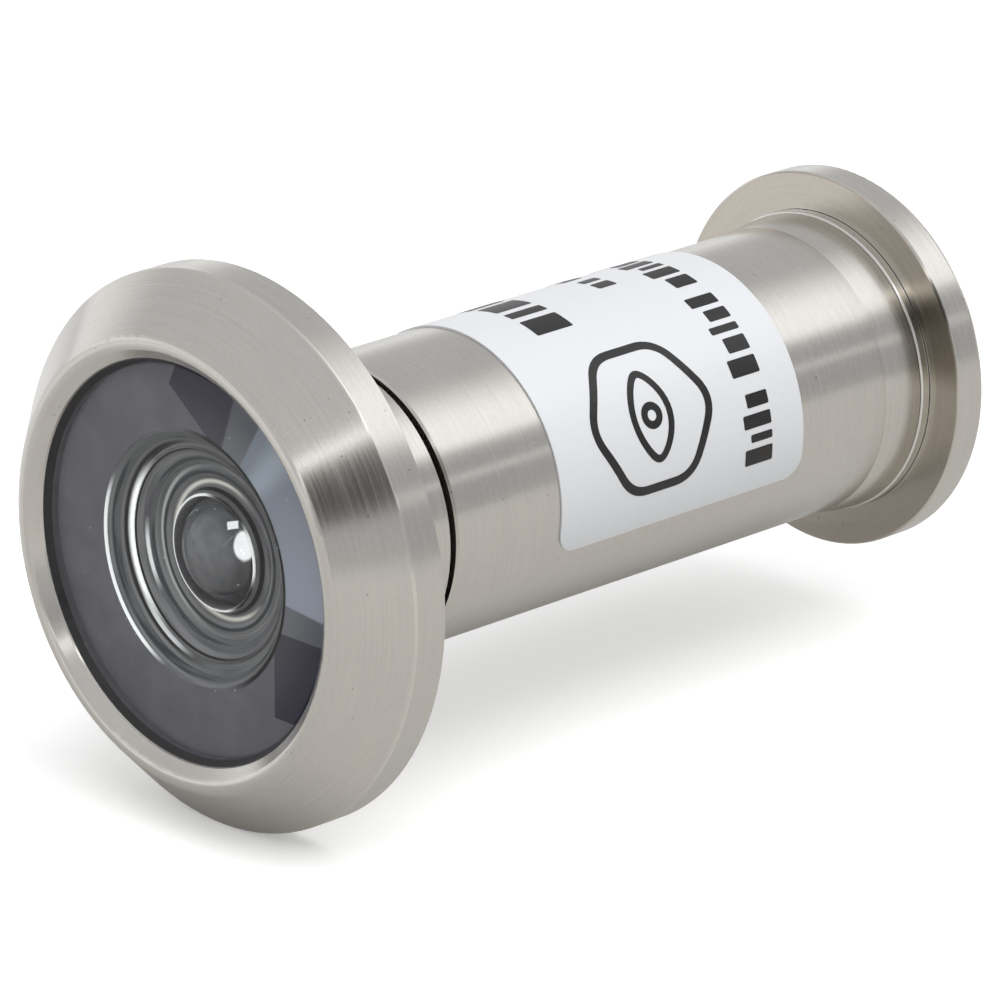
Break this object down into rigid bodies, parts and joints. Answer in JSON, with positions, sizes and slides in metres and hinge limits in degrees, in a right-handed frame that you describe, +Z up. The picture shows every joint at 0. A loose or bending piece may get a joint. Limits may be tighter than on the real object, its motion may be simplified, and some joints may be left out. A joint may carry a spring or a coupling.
{
  "type": "door viewer",
  "caption": "Wide-angle door peephole: flanged outer barrel with a glass lens stack, and a flanged inner sleeve that screws onto it to clamp the door leaf.",
  "frame": {"origin": "on the optical axis, in the plane of the outer flange's door-bearing face", "axes": "+Y along the optical axis from the outside of the door to the inside, +Z up"},
  "size_m": [0.03, 0.0516, 0.03],
  "materials": {
    "satin_nickel": "satin nickel plated, brushed around the axis",
    "optical_glass": "polished",
    "black_rubber": "satin",
    "black_anodised": "matte black anodised",
    "bright_nickel": "bright nickel plated",
    "label_film": "satin white film with plain black marks"
  },
  "bodies": {
    "outer": {"outer_body": "satin_nickel", "front_window": "optical_glass", "window_seal": "black_rubber", "lens_cell": "black_anodised", "objective_lens": "optical_glass", "objective_retaining_ring": "black_anodised", "middle_lens_spacer": "black_anodised", "middle_lens": "optical_glass", "rear_negative_lens": "optical_glass", "spacer_tube": "black_anodised", "eyepiece_lens": "optical_glass", "eyepiece_washer": "black_rubber", "lens_retaining_ring": "black_anodised"},
    "slip_ring": {"flange_slip_ring": "bright_nickel"},
    "sleeve": {"inner_sleeve": "satin_nickel", "sleeve_label": "label_film"}
  },
  "joints": [
    {"name": "sleeve_travel", "type": "slide", "parent": "outer", "child": "slip_ring", "axis": [0, 1, 0], "range_m": [-0.00036, 0.01765]},
    {"name": "sleeve_turn", "type": "hinge", "parent": "slip_ring", "child": "sleeve", "pos_m": [0, 0, 0], "axis": [0, 1, 0], "range_deg": [-126, 6336]}
  ],
  "couplings": [
    {"joint": "sleeve_travel", "follows": "sleeve_turn", "m_per_rad": 0.00015915}
  ]
}
